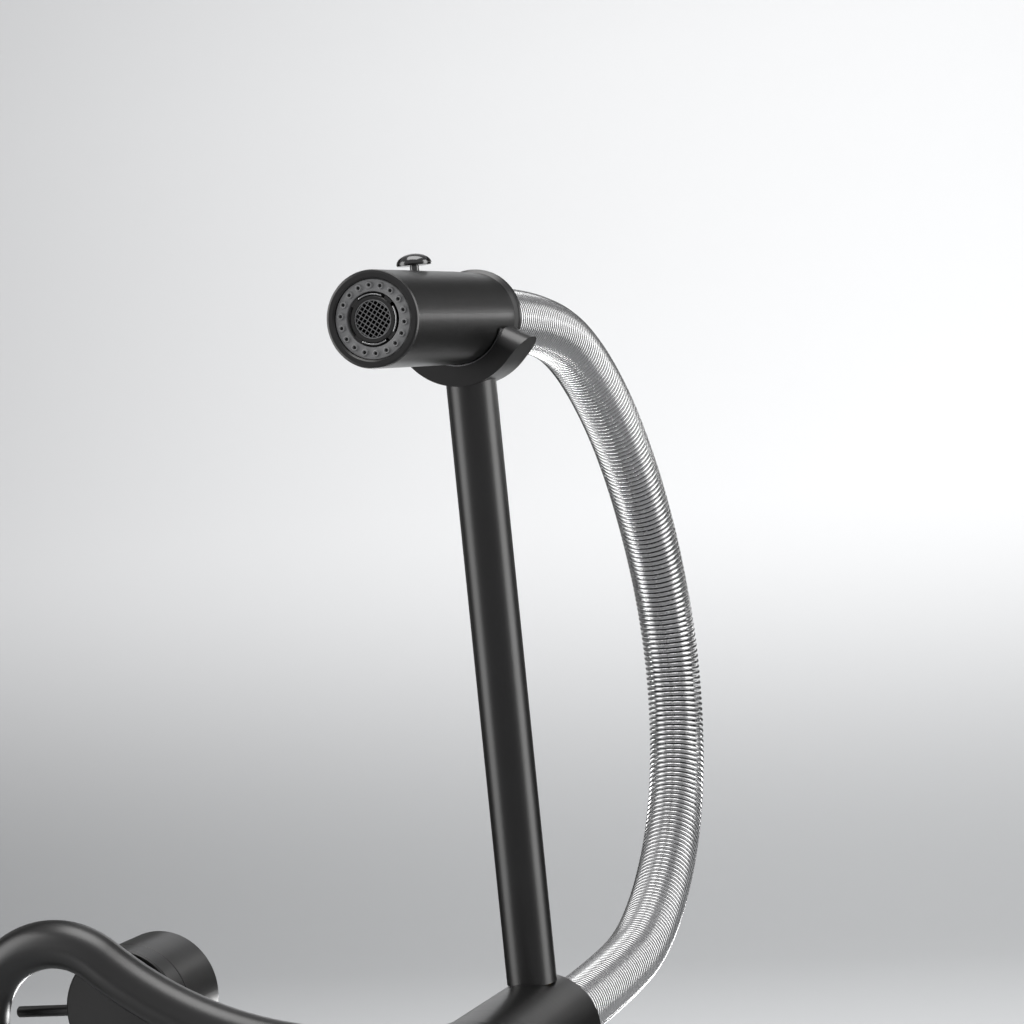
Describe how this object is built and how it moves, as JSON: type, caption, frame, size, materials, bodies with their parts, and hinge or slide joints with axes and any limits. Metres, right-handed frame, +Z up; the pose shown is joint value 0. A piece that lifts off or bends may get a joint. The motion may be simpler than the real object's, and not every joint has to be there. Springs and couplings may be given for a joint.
{
  "type": "kitchen faucet",
  "caption": "Kitchen faucet with a spray head resting in a cradle on a straight stem, a spring-guarded hose loop, a curved side spout and a side control knob.",
  "frame": {"origin": "on the column's axis, at the top face of the deck that the faucet stands on", "axes": "+Z up the column; the spray head points to -Y, the hose loop goes to +Y and the spout goes to -X"},
  "size_m": [0.3119, 0.3836, 0.5772],
  "materials": {
    "gunmetal": "dark satin brushed steel",
    "polished_steel": "bright polished",
    "spring_steel": "bright drawn wire",
    "silicone": "matt light grey",
    "dark_plastic": "fine moulded",
    "bearing_plastic": "smooth moulded",
    "brass": "turned",
    "stainless": "turned",
    "rubber": "matt black"
  },
  "bodies": {
    "base": {"deck_gasket": "rubber", "deck_flange": "gunmetal", "base_column": "gunmetal", "swivel_spigot": "brass", "swivel_bearing": "bearing_plastic", "water_riser": "stainless", "mounting_shank": "brass", "hot_inlet_tail": "stainless", "cold_inlet_tail": "stainless", "control_pipe": "gunmetal", "valve_housing": "gunmetal", "mixing_cartridge": "bearing_plastic", "cartridge_nut": "brass"},
    "upper": {"mixer_body": "gunmetal", "body_front_cap": "gunmetal", "body_rear_cap": "gunmetal", "hose_outlet_ferrule": "gunmetal", "diverter_seat": "brass", "stem": "gunmetal", "stem_top_plug": "stainless", "cradle_screw": "stainless", "stem_foot_stud": "brass", "cradle": "gunmetal", "cradle_liner": "stainless", "spring_guard": "spring_steel", "inner_hose": "rubber", "spout": "gunmetal", "spout_outlet_sleeve": "gunmetal", "spout_aerator": "polished_steel", "spout_aerator_mesh": "dark_plastic"},
    "spray_head": {"head_barrel": "gunmetal", "head_rear_collar": "gunmetal", "collar_bevel_ring": "gunmetal", "hose_ferrule": "gunmetal", "nozzle_plate": "silicone", "aerator_housing": "gunmetal", "aerator_mesh": "stainless", "diverter_core": "dark_plastic", "valve_cylinder": "dark_plastic", "head_waterway": "brass", "check_valve": "bearing_plastic", "head_o_ring": "rubber", "button_spring": "stainless"},
    "mode_button": {"mode_button": "gunmetal"},
    "control_knob": {"control_knob": "gunmetal", "control_lever_pin": "gunmetal", "knob_set_screw": "stainless"},
    "diverter_knob": {"diverter_knob": "gunmetal", "diverter_pin": "gunmetal", "diverter_spindle": "brass"}
  },
  "joints": [
    {"name": "body_swivel", "type": "hinge", "parent": "base", "child": "upper", "pos_m": [0, 0, 0.1], "axis": [0, 0, 1], "range_deg": [0, 60]},
    {"name": "spray_head_lift", "type": "slide", "parent": "upper", "child": "spray_head", "axis": [0, 0, 1], "range_m": [0, 0.05]},
    {"name": "mode_button_press", "type": "slide", "parent": "spray_head", "child": "mode_button", "axis": [0, 0, -1], "range_m": [0, 0.0015], "stiffness_N_per_m": 400, "springref_m": -0.004, "deforming": ["button_spring"]},
    {"name": "control_knob_turn", "type": "hinge", "parent": "base", "child": "control_knob", "pos_m": [-0.196, 0.018, 0.139], "axis": [0, 1, 0], "range_deg": [0, 100]},
    {"name": "diverter_knob_turn", "type": "hinge", "parent": "upper", "child": "diverter_knob", "pos_m": [0, -0.069, 0.12], "axis": [0, 1, 0], "range_deg": [0, 90]}
  ]
}
